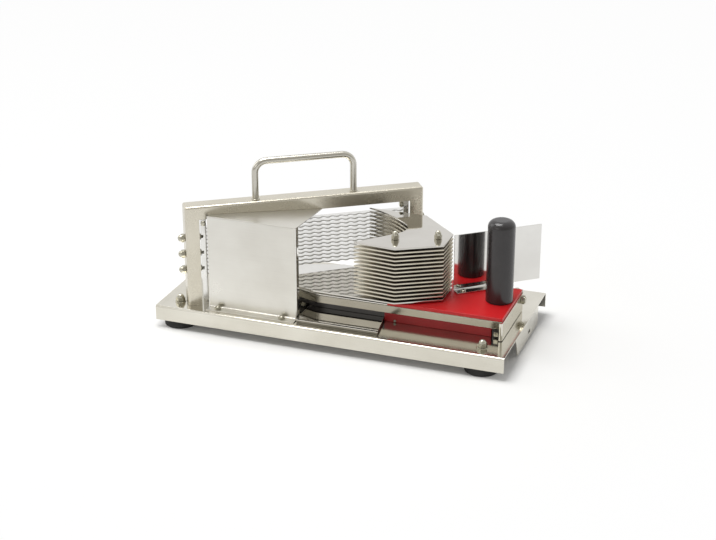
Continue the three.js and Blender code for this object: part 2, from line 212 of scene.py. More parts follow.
trayLook = {
    "name": "satin_stainless_tray", "colour": "#dcd9cf", "shade": "#ccc8bc", "roughness": (0.09, 0.18),
    "grain": (60, 0.8), "cloud": 55, "streak": 0.35, "warp": 90, "warpDepth": 0.12, "bump": 0.25,
    "anisotropic": 0.3,
}
# The rail's satin stainless is the tray's, drawn darker: the darker colour is painted shade.
railShadeLook = {
    "name": "satin_stainless_rail_painted_shade", "colour": "#b2afa5", "shade": "#a5a196", "roughness": (0.12, 0.22),
    "grain": (60, 0.8), "cloud": 55, "streak": 0.35, "warp": 90, "warpDepth": 0.1, "bump": 0.25,
    "anisotropic": 0.3,
}
# Dull stainless drawn dark as painted shade, for the rail's skirt faces, the bed strip's foot and the block
# screw in the shade under the table.
paintedShadeLook = {
    "name": "matte_stainless_painted_shade", "colour": "#918e84", "shade": "#85827a", "roughness": (0.4, 0.55),
    "grain": (50, 0.8), "cloud": 40, "streak": 0.3, "warp": 80, "warpDepth": 0.08, "bump": 0.3,
}
frameLook = {
    "name": "satin_stainless_frame", "colour": "#d8d3c6", "shade": "#c6c0b0", "roughness": (0.2, 0.34),
    "grain": (70, 0.9), "cloud": 60, "streak": 0.35, "turn": 34.3, "warp": 80, "warpDepth": 0.2,
    "bump": 0.3, "anisotropic": 0.3,
}
guardLook = {
    "name": "bright_rolled_stainless_guard", "colour": "#dfddd6", "shade": "#d2cfc7",
    "roughness": (0.26, 0.4), "grain": (40, 1.2), "cloud": 50, "streak": 0.25, "warp": 70,
    "warpDepth": 0.15, "bump": 0.12,
}
mirrorLook = {
    "name": "mirror_polished_stainless", "colour": "#e2e1dd", "shade": "#d5d3cf", "roughness": (0.04, 0.12),
    "grain": (30, 1.0), "cloud": 45, "streak": 0.2, "warp": 80, "warpDepth": 0.08, "bump": 0.05,
}
# Mirror-polished stainless drawn darker than the mirror finish above: the darker colour is painted shade,
# on the bed strip's sheet and the pusher's bed and top plates.
shadedMirrorLook = {
    "name": "mirror_polished_stainless_painted_shade", "colour": "#cfccc6", "shade": "#c2beb7",
    "roughness": (0.02, 0.07), "grain": (40, 1.0), "cloud": 45, "streak": 0.2, "warp": 90,
    "warpDepth": 0.05, "bump": 0.04,
}
# Polished stainless for the stacked plates: the steel grey is the plates' own, and the warm olive tint is
# painted reflection.
plateLook = {
    "name": "polished_stainless_plates_painted_reflection", "colour": "#d6d0c2", "shade": "#bfb8a6", "roughness": (0.24, 0.4),
    "grain": (30, 0.8), "cloud": 40, "streak": 0.3, "warp": 80, "warpDepth": 0.08, "bump": 0.15,
}
bladeLook = {
    "name": "ground_blade_steel", "colour": "#ecebe8", "shade": "#d6d5d1", "roughness": (0.14, 0.26),
    "grain": (0.9, 20), "cloud": 30, "streak": 0.3, "warp": 60, "warpDepth": 0.03, "bump": 0.2,
}
# The blades' ground faces are drawn darker than the blade steel: the darker colour is painted shade for the
# dark wavy lines along the edges.
bladeEdgeShadeLook = {
    "name": "ground_blade_edge_painted_shade", "colour": "#aeaca7", "shade": "#9a9892", "roughness": (0.3, 0.46),
    "grain": (0.9, 20), "cloud": 30, "streak": 0.3, "warp": 60, "warpDepth": 0.03, "bump": 0.2,
}
rodLook = {
    "name": "polished_stainless_rod", "colour": "#c9c6bd", "shade": "#b9b5aa", "roughness": (0.14, 0.26),
    "grain": (0.8, 30), "cloud": 25, "streak": 0.3, "warp": 60, "warpDepth": 0.03, "bump": 0.15,
}
boltLook = {
    "name": "turned_stainless_bolts", "colour": "#c6c3b6", "shade": "#aeaa9a", "roughness": (0.14, 0.3),
    "grain": (3, 0.5), "cloud": 8, "streak": 0.4, "warp": 20, "warpDepth": 0.02, "bump": 0.2,
}
boardLook = {
    "name": "red_polyethylene_board", "colour": "#d1141b", "shade": "#c51118", "roughness": (0.34, 0.5),
    "grain": 0.9, "grainDepth": 0.05, "cloud": 30, "bump": 0.35, "ior": 1.51,
}
# The support block's red polyethylene is the board's, drawn darker: the darker red is painted shade under
# the table.
blockShadeLook = {
    "name": "red_polyethylene_block_painted_shade", "colour": "#a30f18", "shade": "#940d15", "roughness": (0.34, 0.5),
    "grain": 0.9, "grainDepth": 0.05, "cloud": 30, "bump": 0.35, "ior": 1.51,
}
# Black nylon for the grip, used as well for the black blocks that are painted shade under the table.
gripAndShadeLook = {
    "name": "black_nylon_grip_and_painted_shade", "colour": "#302d2e", "shade": "#282526", "roughness": (0.16, 0.28),
    "grain": 0.7, "grainDepth": 0.04, "cloud": 20, "bump": 0.3, "ior": 1.53,
}
rubberLook = {
    "name": "black_moulded_rubber", "colour": "#171716", "shade": "#201f1e", "roughness": (0.6, 0.8),
    "grain": 0.8, "grainDepth": 0.06, "cloud": 12, "bump": 0.4, "ior": 1.52,
}
traySteel = stainless(trayLook)
railShadeSteel = stainless(railShadeLook)
paintedShadeSteel = stainless(paintedShadeLook)
frameSteel = stainless(frameLook)
guardSteel = stainless(guardLook)
mirrorSteel = stainless(mirrorLook)
plateSteel = stainless(plateLook)
bladeSteel = stainless(bladeLook)
rodSteel = stainless(rodLook)
boltSteel = stainless(boltLook)
shadedMirrorSteel = stainless(shadedMirrorLook)
bladeEdgeShadeSteel = stainless(bladeEdgeShadeLook)
redBoard = moulded(boardLook)
redBlockShaded = moulded(blockShadeLook)
blackNylonAndShade = moulded(gripAndShadeLook)
blackRubber = moulded(rubberLook)
print("finishes made")

# Mesh helpers. Points are in mm and become metres when the mesh is made. Angles here are in degrees.
rounding = {
    "segments": 2, "profile": 0.5, "sharp": 30, "cutSharp": 50, "merge": 0.02, "flat": 0.5,
    "plateMerge": 0.005, "plateFlat": 0.2,
}


# Rounds the edges that are sharper than an angle
def rounded(bm, width, angle):
    sharp = [e for e in bm.edges if e.is_manifold and e.calc_face_angle(0) > math.radians(angle)]
    bmesh.ops.bevel(
        bm, geom=sharp, offset=width, segments=rounding["segments"], profile=rounding["profile"],
        affect="EDGES", clamp_overlap=True,
    )
    return bm


# Joins points that lie together and takes out edges inside flat faces
def cleaned(bm, merge, flat):
    bmesh.ops.remove_doubles(bm, verts=bm.verts, dist=merge)
    bmesh.ops.dissolve_limit(bm, angle_limit=math.radians(flat), verts=bm.verts, edges=bm.edges)
    return bm


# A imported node's own shape with its sharp edges rounded
def softened(node, width):
    bm = bmesh.new()
    bm.from_mesh(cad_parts[node].data)
    bm.transform(Matrix.Scale(metre, 4))
    rounded(cleaned(bm, rounding["merge"], rounding["flat"]), width, rounding["sharp"])
    manySided = [f for f in bm.faces if len(f.verts) > 4]
    bmesh.ops.triangulate(bm, faces=manySided, ngon_method="EAR_CLIP")
    return bm


# Angles of a quarter turn in even steps
def quarterSteps(steps):
    return [math.pi / 2 * i / steps for i in range(steps + 1)]


# Section of a folded sheet: the path is its outer side, bends turn left and the sheet lies to the left
def foldedSection(path, thick, radius, steps=6):
    outside, inside = [], []
    points = [Vector(p) for p in path]
    steer = [(b - a).normalized() for a, b in zip(points, points[1:])]
    for i, point in enumerate(points):
        before, after = steer[max(i - 1, 0)], steer[min(i, len(steer) - 1)]
        left = Vector((-before.y, before.x))
        turn = math.atan2(before.x * after.y - before.y * after.x, before.dot(after))
        if turn == 0:
            outside.append(point)
            inside.append(point + left * thick)
            continue
        middle = point - before * radius * math.tan(turn / 2) + left * radius
        for j in range(steps + 1):
            out = Matrix.Rotation(turn * j / steps, 2) @ left
            outside.append(middle - out * radius)
            inside.append(middle - out * (radius - thick))
    return outside + inside[::-1]


# Rounds the cut edges of sheet and the corners of blocks a little
def eased(bm, width):
    bmesh.ops.recalc_face_normals(bm, faces=bm.faces)
    return rounded(bm, width, rounding["cutSharp"])


# Puts the faces of one mesh into another
def addTo(bm, other, place=None):
    spare = bpy.data.meshes.new("spare")
    if place:
        other.transform(place)
    other.to_mesh(spare)
    other.free()
    bm.from_mesh(spare)
    bpy.data.meshes.remove(spare)
    return bm


# A closed block between two corners, with eased edges
def blockOf(low, high, width):
    (x0, y0, z0), (x1, y1, z1) = low, high
    ring = [(x0, y0), (x1, y0), (x1, y1), (x0, y1)]
    return eased(skinned([[(x, y, z) for x, y in ring] for z in (z0, z1)]), width)


# Skin over rings of points, closed round each ring and capped at both ends; a ring of one point is a tip
def skinned(rings):
    bm = bmesh.new()
    made = [[bm.verts.new(p) for p in ring] for ring in rings]
    for low, high in zip(made, made[1:]):
        for i in range(max(len(low), len(high))):
            corners = [low[i % len(low)], low[(i + 1) % len(low)]]
            corners += [high[(i + 1) % len(high)], high[i % len(high)]]
            bm.faces.new(list(dict.fromkeys(corners)))
    for ring in (made[0], made[-1]):
        if len(ring) > 2:
            bm.faces.new(ring)
    return bm


def circle(radius, z, sides):
    if radius == 0:
        return [(0, 0, z)]
    turns = [2 * math.pi * i / sides for i in range(sides)]
    return [(radius * math.cos(t), radius * math.sin(t), z) for t in turns]


def turned(profile, sides=32):
    return skinned([circle(r, z, sides) for r, z in profile])


# A hexagon of the given width across flats, drawn with as many points as a circle
def hexagon(across, z, sides, limit=math.inf):
    ring = []
    for i in range(sides):
        t = 2 * math.pi * i / sides
        off = (t + math.pi / 6) % (math.pi / 3) - math.pi / 6
        r = min(across / 2 / math.cos(off), limit)
        ring.append((r * math.cos(t), r * math.sin(t), z))
    return ring


# Cap nut or bolt head: chamfered hexagon under a dome, on a thin round washer face.
# A nut's four sizes are width across flats, height, dome height and dome radius.
# Chamfer and washer face are shares of the width across flats, and the other values are in mm.
capShape = {
    "chamfer": 0.54, "seat": (0.46, 0.49), "seatHeight": 0.4, "corner": 0.7, "neck": 0.6, "steps": 5,
}


def capNut(across, height, dome, domeRadius, sides=48):
    low, high = capShape["seat"]
    seat, neck = capShape["seatHeight"], capShape["neck"]
    rings = [circle(across * low, 0, sides), circle(across * high, seat, sides)]
    rings += [hexagon(across, seat, sides), hexagon(across, height - capShape["corner"], sides)]
    rings.append(hexagon(across, height, sides, across * capShape["chamfer"]))
    rings.append(circle(domeRadius, height, sides))
    for t in quarterSteps(capShape["steps"])[:-1]:
        rings.append(circle(domeRadius * math.cos(t), height + neck + (dome - neck) * math.sin(t), sides))
    rings.append([(0, 0, height + dome)])
    return skinned(rings)


# Flat plate from closed outlines, the first one outside and the others holes, with rounded edges
def plateFrom(outlines, thickness, edge):
    curve = bpy.data.curves.new("plate_outline", "CURVE")
    curve.dimensions = "2D"
    curve.fill_mode = "BOTH"
    curve.extrude = thickness / 2 - edge
    curve.bevel_depth = edge
    curve.bevel_resolution = 1
    curve.offset = -edge
    for points in outlines:
        spline = curve.splines.new("POLY")
        spline.points.add(len(points) - 1)
        spline.use_cyclic_u = True
        for target, (x, y) in zip(spline.points, points):
            target.co = (x, y, 0, 1)
    holder = bpy.data.objects.new("plate_outline", curve)
    scene.collection.objects.link(holder)
    filled = holder.evaluated_get(bpy.context.evaluated_depsgraph_get())
    mesh = bpy.data.meshes.new_from_object(filled)
    bm = bmesh.new()
    bm.from_mesh(mesh)
    bpy.data.objects.remove(holder)
    bpy.data.curves.remove(curve)
    bpy.data.meshes.remove(mesh)
    return cleaned(bm, rounding["plateMerge"], rounding["plateFlat"])


# A mesh in metres with one finish, smooth up to its sharp edges
def meshFrom(name, bm, finish, sharpAngle=40):
    bmesh.ops.recalc_face_normals(bm, faces=bm.faces)
    bm.transform(Matrix.Scale(mm, 4))
    mesh = bpy.data.meshes.new(name)
    bm.to_mesh(mesh)
    bm.free()
    mesh.materials.append(finish)
    for polygon in mesh.polygons:
        polygon.use_smooth = True
    mesh.set_sharp_from_angle(angle=math.radians(sharpAngle))
    return mesh


# Gives a second finish to the faces that are chosen
def refinish(mesh, finish, chosen):
    mesh.materials.append(finish)
    for polygon in mesh.polygons:
        polygon.material_index = int(chosen(polygon))


# A piece rides on a body, is placed where a place is given and stands for its nodes, which are hidden
def addPiece(name, mesh, body, nodes=(), place=None):
    piece = bpy.data.objects.new(name, mesh)
    scene.collection.objects.link(piece)
    if place:
        piece.matrix_world = place
    even = piece.modifiers.new("face weighted normals", "WEIGHTED_NORMAL")
    even.keep_sharp = True
    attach(piece, body)
    if nodes:
        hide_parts(*nodes)
    return piece


def at(x, y, z):
    return Matrix.Translation(Vector((x, y, z)) * mm)


# Heights shared by the pieces, in mm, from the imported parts
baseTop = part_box("base_tray")[1].z / mm
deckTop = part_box("table_plate")[1].z / mm
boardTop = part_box("carriage_board")[1].z / mm

# Blade frame axes: s along the blades, n through the frame to the back, z up from the base
portal = {
    "corner": (-176, -87), "angle": 34.3, "length": 290, "height": 125, "depth": 19, "face": 16.6,
    "sheet": 2.5, "bend": 2.8, "edge": 0.35, "steps": 6, "merge": 0.001, "holderEdge": 0.3,
    "leftScrew": (21.4, 1, 103.4), "rightScrew": (265.4, 7, 102.8),
}
portalTurn = math.radians(portal["angle"])
toRow = Matrix.Translation((*portal["corner"], baseTop)) @ Matrix.Rotation(portalTurn, 4, "Z")
framePlace = Matrix.Scale(mm, 4) @ toRow @ Matrix.Scale(metre, 4)


def inFrame(s, n, z):
    return framePlace @ at(s, n, z)


# Base tray, folded from one sheet with rounded bends, and a short deeper flange under each end
tray = {
    "halfLength": 215, "halfWidth": 97.5, "flange": 18.6, "sheet": 1.5, "bend": 2.6, "edge": 0.3,
    "endFront": -46, "endBack": 60, "endKink": (4.2, 8), "endSlant": 12, "endDepth": 25, "endCut": 3,
    "endEdge": 0.25, "slot": (18, -17), "slotSize": (9, 4),
}


def trayMesh():
    half, width, drop, sheet = tray["halfLength"], tray["halfWidth"], tray["flange"], tray["sheet"]
    section = [(width, -drop), (width, 0), (-width, 0), (-width, -drop)]
    section = foldedSection(section, sheet, tray["bend"])
    bm = eased(skinned([[(x, y, z + baseTop) for y, z in section] for x in (-half, half)]), tray["edge"])
    front, back, depth, cut = tray["endFront"], tray["endBack"], tray["endDepth"], tray["endCut"]
    kinkOut, kinkDown = tray["endKink"]
    flange = [(front, -sheet), (front + kinkOut, -kinkDown), (front + tray["endSlant"], -depth)]
    flange += [(back - cut, -depth), (back, cut - depth), (back, -sheet)]
    (y, z), (wide, high) = tray["slot"], tray["slotSize"]
    slot = [(y - wide / 2, z - high / 2), (y + wide / 2, z - high / 2)]
    slot += [(y + wide / 2, z + high / 2), (y - wide / 2, z + high / 2)]
    upright = Matrix.Rotation(math.pi / 2, 4, "Z") @ Matrix.Rotation(math.pi / 2, 4, "X")
    for x, outlines in ((sheet / 2 - half, [flange]), (half - sheet / 2, [flange, slot])):
        place = Matrix.Translation((x, 0, baseTop)) @ upright
        addTo(bm, plateFrom(outlines, sheet, tray["endEdge"]), place)
    return bm


addPiece("tray_folded", meshFrom("tray_folded", trayMesh(), traySteel), "stand", ["base_tray"])

# Feet: turned rubber discs with a soft rim and a neck, held by cap nuts on washers
foot = {
    "radius": 20, "rim": 2.2, "rimSteps": 6, "height": 9.1, "lip": (0.6, 1.4), "top": 2,
    "neck": 11, "flare": 1, "flareHeights": (2, 4), "neckTop": 26.5, "sides": 48,
}
footNut = {
    "nut": (10, 5, 5, 4.4), "tallness": 0.9, "washer": 6.6, "washerThick": 1.0, "washerEdges": (0.2, 0.3),
}


def footProfile():
    radius, rim, height, neck = foot["radius"], foot["rim"], foot["height"], foot["neck"]
    profile = [(0, 0), (radius - rim, 0)]
    for t in quarterSteps(foot["rimSteps"])[1:]:
        profile.append((radius - rim * (1 - math.sin(t)), rim * (1 - math.cos(t))))
    lipIn, lipDown = foot["lip"]
    profile += [(radius - lipIn, height - lipDown), (radius - foot["top"], height)]
    flareLow, flareHigh = foot["flareHeights"]
    profile += [(neck + foot["flare"], height + flareLow), (neck, height + flareHigh)]
    return profile + [(neck, foot["neckTop"]), (0, foot["neckTop"])]


def washerProfile():
    radius, thick = footNut["washer"], footNut["washerThick"]
    under, over = footNut["washerEdges"]
    profile = [(0, 0), (radius - under, 0), (radius, over), (radius, thick - over)]
    return profile + [(radius - over, thick), (0, thick)]


footMesh = meshFrom("foot_rubber", turned(footProfile(), foot["sides"]), blackRubber)
nutMesh = meshFrom("nut_capped", capNut(*footNut["nut"]), boltSteel)
washerMesh = meshFrom("washer_round", turned(washerProfile()), boltSteel)
flatter = Matrix.Scale(footNut["tallness"], 4, (0, 0, 1))
for corner in ("front_left", "front_right", "rear_left", "rear_right"):
    low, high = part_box(f"rubber_foot_{corner}")
    x, y = ((low + high) / 2 / mm).xy
    addPiece(f"foot_{corner}", footMesh, "stand", [f"rubber_foot_{corner}"], at(x, y, 0))
    addPiece(f"foot_washer_{corner}", washerMesh, "stand", (), at(x, y, baseTop))
    place = at(x, y, baseTop + footNut["washerThick"]) @ flatter
    addPiece(f"foot_nut_{corner}", nutMesh, "stand", [f"foot_bolt_{corner}"], place)
print("base and feet made")


# Portal frame: an angle section with rounded bends, carried up one side, along the top and down the other
def portalRings():
    length, height, radius, steps = [portal[k] for k in ("length", "height", "bend", "steps")]
    section = [(portal["face"], 0), (0, 0), (0, portal["depth"])]
    section = [tuple(p) for p in foldedSection(section, -portal["sheet"], -radius, steps)]
    half = [[(d, n, 0) for d, n in section]]
    for t in quarterSteps(steps):
        ring = []
        for d, n in section:
            reach, inset = max(radius - d, 0), max(radius, d)
            ring.append((inset - reach * math.cos(t), n, height - inset + reach * math.sin(t)))
        half.append(ring)
    return half + [[(length - s, n, z) for s, n, z in ring] for ring in reversed(half)]


portalMesh = skinned(portalRings())
bmesh.ops.remove_doubles(portalMesh, verts=portalMesh.verts, dist=portal["merge"])
portalMesh = meshFrom("portal_frame", eased(portalMesh, portal["edge"]), frameSteel)
addPiece("portal_frame", portalMesh, "stand", ["blade_frame"], framePlace)
for side in ("left", "right"):
    holderMesh = softened(f"blade_holder_{side}", portal["holderEdge"])
    holderMesh = meshFrom(f"holder_bar_{side}", holderMesh, bladeSteel)
    addPiece(f"holder_bar_{side}", holderMesh, "stand", [f"blade_holder_{side}"])

# Tension bolts: cap nuts at the frame's left end and low heads at the right, on studs into the holders
tension = {
    "heights": (44, 64, 84), "middle": 9.5, "gap": 0.3, "left": (9, 4, 4, 4), "right": (9, 2.4, 0.6, 3.6),
    "stud": 19.7, "studRadius": 3, "studEdge": 0.4, "studRise": 0.2, "sides": 24,
}
studRadius, studEdge = tension["studRadius"], tension["studEdge"]
studProfile = [(0, -tension["stud"]), (studRadius - studEdge, -tension["stud"])]
studProfile += [(studRadius, studEdge - tension["stud"]), (studRadius, tension["studRise"])]
studProfile += [(0, tension["studRise"])]
studMesh = meshFrom("stud_plain", turned(studProfile, tension["sides"]), boltSteel)
frameEnds = (("left", -tension["gap"], -90), ("right", portal["length"] + tension["gap"], 90))
for side, end, lean in frameEnds:
    tensionMesh = meshFrom(f"tension_nut_{side}", capNut(*tension[side]), boltSteel)
    for i, z in enumerate(tension["heights"]):
        name = f"{side}_{i + 1}"
        place = inFrame(end, tension["middle"], z) @ Matrix.Rotation(math.radians(lean), 4, "Y")
        addPiece(f"tension_nut_{name}", tensionMesh, "stand", [f"tension_bolt_{name}"], place)
        addPiece(f"tension_stud_{name}", studMesh, "stand", (), place)

# Blades: thin strips, ground towards a waved edge. Sides 0, 1 and 5 of a ring are the ground ones.
blade = {
    "count": 13, "lowest": 36.9, "pitch": 4.8, "thick": 0.5, "front": 5, "back": 17, "start": 21.9,
    "waves": 22, "depth": 2.8, "grind": 3.2, "edgeThick": 0.08, "steps": 10, "sharp": 3,
    "ground": (0, 1, 5),
}


def bladeRings():
    rings = []
    start, back, total = blade["start"], blade["back"], blade["waves"] * blade["steps"]
    end = portal["length"] - start
    thin, full = blade["edgeThick"] / 2, blade["thick"] / 2
    for i in range(total + 1):
        s = start + (end - start) * i / total
        front = blade["front"] + blade["depth"] * (0.5 + 0.5 * math.cos(2 * math.pi * i / blade["steps"]))
        grind = front + blade["grind"]
        over = [(s, front, thin), (s, grind, full), (s, back, full)]
        rings.append([(s, front, -thin), *over, (s, back, -full), (s, grind, -full)])
    return rings


bladeSkin = bladeRings()
bladeMesh = meshFrom("blade_waved", skinned(bladeSkin), bladeSteel, blade["sharp"])
ringSides, bladeSides = len(bladeSkin[0]), len(bladeMesh.polygons) - 2
# The ground faces take the darker steel of painted shade.
refinish(bladeMesh, bladeEdgeShadeSteel, lambda p: p.index < bladeSides and p.index % ringSides in blade["ground"])
for i in range(blade["count"]):
    number = f"{i + 1:02d}"
    place = inFrame(0, 0, blade["lowest"] + i * blade["pitch"])
    addPiece(f"blade_waved_{number}", bladeMesh, "stand", [f"blade_{number}"], place)

# Carrying handle: a bent rod with a collar at each foot
handle = {
    "left": 86, "right": 205, "radius": 4, "top": 171.5, "bend": 14, "bendSteps": 12, "gap": 0.2,
    "sides": 24, "collar": 5.2, "collarSide": 0.8, "collarHigh": 1.4, "collarGap": 0.1,
}


# Points of the rod's middle line with the way it runs there
def handlePath():
    left, radius, top = handle["left"], handle["bend"], handle["top"]
    path = [(left, portal["height"] + handle["gap"], 0, 1)]
    for t in quarterSteps(handle["bendSteps"]):
        s, z = left + radius * (1 - math.cos(t)), top - radius + radius * math.sin(t)
        path.append((s, z, math.sin(t), math.cos(t)))
    return path + [(left + handle["right"] - s, z, ds, -dz) for s, z, ds, dz in reversed(path)]


def handleRings():
    section = circle(handle["radius"], 0, handle["sides"])
    middle = tension["middle"]
    return [[(s - dz * u, middle + v, z + ds * u) for u, v, w in section] for s, z, ds, dz in handlePath()]


handleMesh = meshFrom("handle_rod", skinned(handleRings()), rodSteel)
addPiece("handle_rod", handleMesh, "stand", ["carry_handle"], framePlace)
collarProfile = [(0, 0), (handle["collar"], 0), (handle["collar"], handle["collarSide"])]
collarProfile += [(handle["radius"] + handle["collarGap"], handle["collarHigh"]), (0, handle["collarHigh"])]
collarMesh = meshFrom("handle_collar", turned(collarProfile), rodSteel)
for side in ("left", "right"):
    place = inFrame(handle[side], tension["middle"], portal["height"])
    addPiece(f"handle_collar_{side}", collarMesh, "stand", (), place)
print("blade frame made")

# Front guard: a bent sheet with a foot flange, a rounded return edge and a cover that falls to the frame
guard = {
    "left": -152, "right": -40, "face": -78.9, "back": -71.7, "top": 115, "sheet": 1.2, "flange": -90.7,
    "footBend": 2.6, "sideBend": 2, "bendSteps": 6, "overlap": 0.01, "edge": 0.25, "coverFall": 0.07,
    "coverEdge": 0.4, "gap": 0.3, "returnTurn": 0.6, "screws": ((-139.1, -84.6), (-57.6, -84.6)),
}


def frameFaceAt(x):
    x0, y0 = portal["corner"]
    return y0 + (x - x0) * math.tan(portalTurn) - guard["gap"] / math.cos(portalTurn)


def guardSheet():
    left, right, face, sheet, radius = [guard[k] for k in ("left", "right", "face", "sheet", "sideBend")]
    under, fold = guard["top"] - sheet, right - radius
    panel = [(guard["flange"], 0), (face + sheet, 0), (face + sheet, under)]
    panel = foldedSection(panel, sheet, guard["footBend"])
    bm = eased(skinned([[(x, y, z) for y, z in panel] for x in (left, fold)]), guard["edge"])
    side = [(fold - guard["overlap"], face), (right, face), (right, guard["back"])]
    side = foldedSection(side, sheet, radius)
    addTo(bm, skinned([[(x, y, z) for x, y in side] for z in (0, under)]))
    addTo(bm, blockOf((fold, guard["flange"], 0), (right, face, sheet), guard["edge"]))
    cover = [(left, face), (fold, face)]
    for t in quarterSteps(guard["bendSteps"])[1:]:
        cover.append((fold + radius * math.sin(t), face + radius * (1 - math.cos(t))))
    cover += [(right, frameFaceAt(right)), (left, frameFaceAt(left))]
    fall = Matrix.Identity(4)
    fall[2][1] = -guard["coverFall"]
    fall[2][3] = guard["top"] - sheet / 2 + guard["coverFall"] * face
    return addTo(bm, plateFrom([cover], sheet, guard["coverEdge"]), fall)


# Its return edge is polished like a mirror
guardMesh = meshFrom("guard_sheet", guardSheet(), guardSteel)
refinish(guardMesh, mirrorSteel, lambda p: p.normal.x > guard["returnTurn"])
addPiece("guard_sheet", guardMesh, "stand", ["front_guard"], at(0, 0, baseTop))

# Table: rail frame and skirt in steel darkened as painted shade, polished plate with its guide slot, red
# block and bed strip
table = {
    "front": -48.5, "back": 46.5, "left": -78, "right": 199, "corner": (50, 17), "thick": 1.2, "edge": 0.25,
    "slot": (7, 195.5), "slotHalf": 5.3, "skirt": 28, "railEdge": 0.35, "blockEdge": 0.6,
    "blockScrew": (70, -47.5, 1.9),
}
railMesh = meshFrom("rail_angle", softened("table_rail", table["railEdge"]), railShadeSteel)
# Its skirt faces at the back take the dark steel of painted shade.
refinish(railMesh, paintedShadeSteel, lambda p: p.center.y > table["skirt"] * mm)
addPiece("rail_angle", railMesh, "stand", ["table_rail"])


def deckOutlines():
    front, back, left, right, half = [table[k] for k in ("front", "back", "left", "right", "slotHalf")]
    along, across = table["corner"]
    start, end = table["slot"]
    deck = [(right, front), (right, back), (left + along, back), (left, back - across)]
    deck += [(left, front + across), (left + along, front)]
    return [deck, [(start, -half), (start, half), (end, half), (end, -half)]]


deckMesh = meshFrom("deck_plate", plateFrom(deckOutlines(), table["thick"], table["edge"]), mirrorSteel)
deckPlace = at(0, 0, deckTop - table["thick"] / 2)
addPiece("deck_plate", deckMesh, "stand", ["table_plate"], deckPlace)
# The support block takes the darker red of painted shade.
blockMesh = meshFrom("block_red", softened("support_block", table["blockEdge"]), redBlockShaded)
addPiece("block_red", blockMesh, "stand", ["support_block"])
strip = {
    "outline": ((-38.5, -87), (62.5, -87), (56.7, -48.5), (56.7, -33), (-38.5, -33)),
    "foot": ((-37.7, -86), (61.6, -86), (55.9, -48.5), (55.9, -33), (-37.7, -33)),
    "height": 4.2, "sheet": 1.5, "edge": 0.4, "footHeight": 3.2,
}
stripMesh = plateFrom([strip["outline"]], strip["sheet"], strip["edge"])
stripMesh.transform(Matrix.Translation((0, 0, strip["height"] - strip["sheet"] / 2)))
sheetFaces = len(stripMesh.faces)
# The strip's foot takes the dark steel of painted shade.
stripFoot = plateFrom([strip["foot"]], strip["footHeight"], strip["edge"])
stripMesh = addTo(stripMesh, stripFoot, Matrix.Translation((0, 0, strip["footHeight"] / 2)))
# The strip's sheet takes the darker mirror steel of painted shade.
stripMesh = meshFrom("strip_polished", stripMesh, shadedMirrorSteel)
refinish(stripMesh, paintedShadeSteel, lambda p: p.index >= sheetFaces)
addPiece("strip_polished", stripMesh, "stand", ["bed_strip"], at(0, 0, baseTop))

# End bracket, with a thin gap over the base
bracket = {
    "front": -56.6, "back": 36.3, "outer": 201.3, "return": 4, "sheet": 2, "bend": 2.4, "foot": 0.8,
    "top": 22.5, "edge": 0.3, "bolt": (29, 17.3),
}
bracketPath = [(bracket["outer"] - bracket["return"], bracket["front"])]
bracketPath += [(bracket["outer"], bracket["front"]), (bracket["outer"], bracket["back"])]
bracketSection = foldedSection(bracketPath, bracket["sheet"], bracket["bend"])
bracketMesh = skinned([[(x, y, z) for x, y in bracketSection] for z in (bracket["foot"], bracket["top"])])
bracketMesh = meshFrom("bracket_end", eased(bracketMesh, bracket["edge"]), traySteel)
addPiece("bracket_end", bracketMesh, "stand", ["end_bracket"], at(0, 0, baseTop))
print("table made")

# Carriage board, with its key and retainer below
carriage = {"boardEdge": 0.5, "guideEdge": 0.4}
boardMesh = meshFrom("board_red", softened("carriage_board", carriage["boardEdge"]), redBoard)
addPiece("board_red", boardMesh, "carriage", ["carriage_board"])
for name in ("guide_key", "retainer_plate"):
    guideMesh = meshFrom(f"{name}_milled", softened(name, carriage["guideEdge"]), traySteel)
    addPiece(f"{name}_milled", guideMesh, "carriage", [name])

# Pusher plates: stacked and notched over a whole bed plate, the bed and the top one polished like mirrors
# and drawn darker as painted shade
pusher = {
    "count": 15, "thick": 2.0, "edge": 0.35, "lowest": 29.7, "pins": ((64, -31), (110, -12.7)),
    "hole": 3.3, "holeSides": 20,
    "corners": ((22, -55.5), (73, -60), (122.7, -31), (123, 6), (75, 53.5), (2, 55.5)),
    "notch": (((34, 46), (61, 18)), ((73, 4), (60, -14))), "notchSteps": 14,
    "bed": (
        (-70, -48.7), (-28, -57.4), (73, -60), (122.7, -31), (123, 6), (75, 53.5), (31.8, 55.5),
        (-70, -25.5),
    ),
}


# Points after the start of a curve to the end, drawn towards the middle point
def bend(start, middle, end, steps):
    points = []
    for i in range(1, steps + 1):
        t = i / steps
        near, between, far = (1 - t) ** 2, 2 * t * (1 - t), t * t
        points.append([near * a + between * b + far * c for a, b, c in zip(start, middle, end)])
    return points


def notchedOutline():
    points = list(pusher["corners"])
    for middle, end in pusher["notch"]:
        points += bend(points[-1], middle, end, pusher["notchSteps"])
    return points


def plateHeight(i):
    return baseTop + pusher["lowest"] + i * blade["pitch"]


pinHole = circle(pusher["hole"], 0, pusher["holeSides"])
pinHoles = [[(x + px, y + py) for x, y, z in pinHole] for px, py in pusher["pins"]]
pusherKinds = (
    ("pusher_plate_bed", pusher["bed"], shadedMirrorSteel),
    ("pusher_plate_stacked", notchedOutline(), plateSteel),
    ("pusher_plate_top", notchedOutline(), shadedMirrorSteel),
)
bedMesh, stackedMesh, topMesh = [
    meshFrom(name, plateFrom([points, *pinHoles], pusher["thick"], pusher["edge"]), finish)
    for name, points, finish in pusherKinds
]
pusherStack = [bedMesh] + [stackedMesh] * (pusher["count"] - 2) + [topMesh]
for i, mesh in enumerate(pusherStack):
    number = f"{i + 1:02d}"
    place = at(0, 0, plateHeight(i))
    addPiece(f"pusher_leaf_{number}", mesh, "carriage", [f"pusher_plate_{number}"], place)

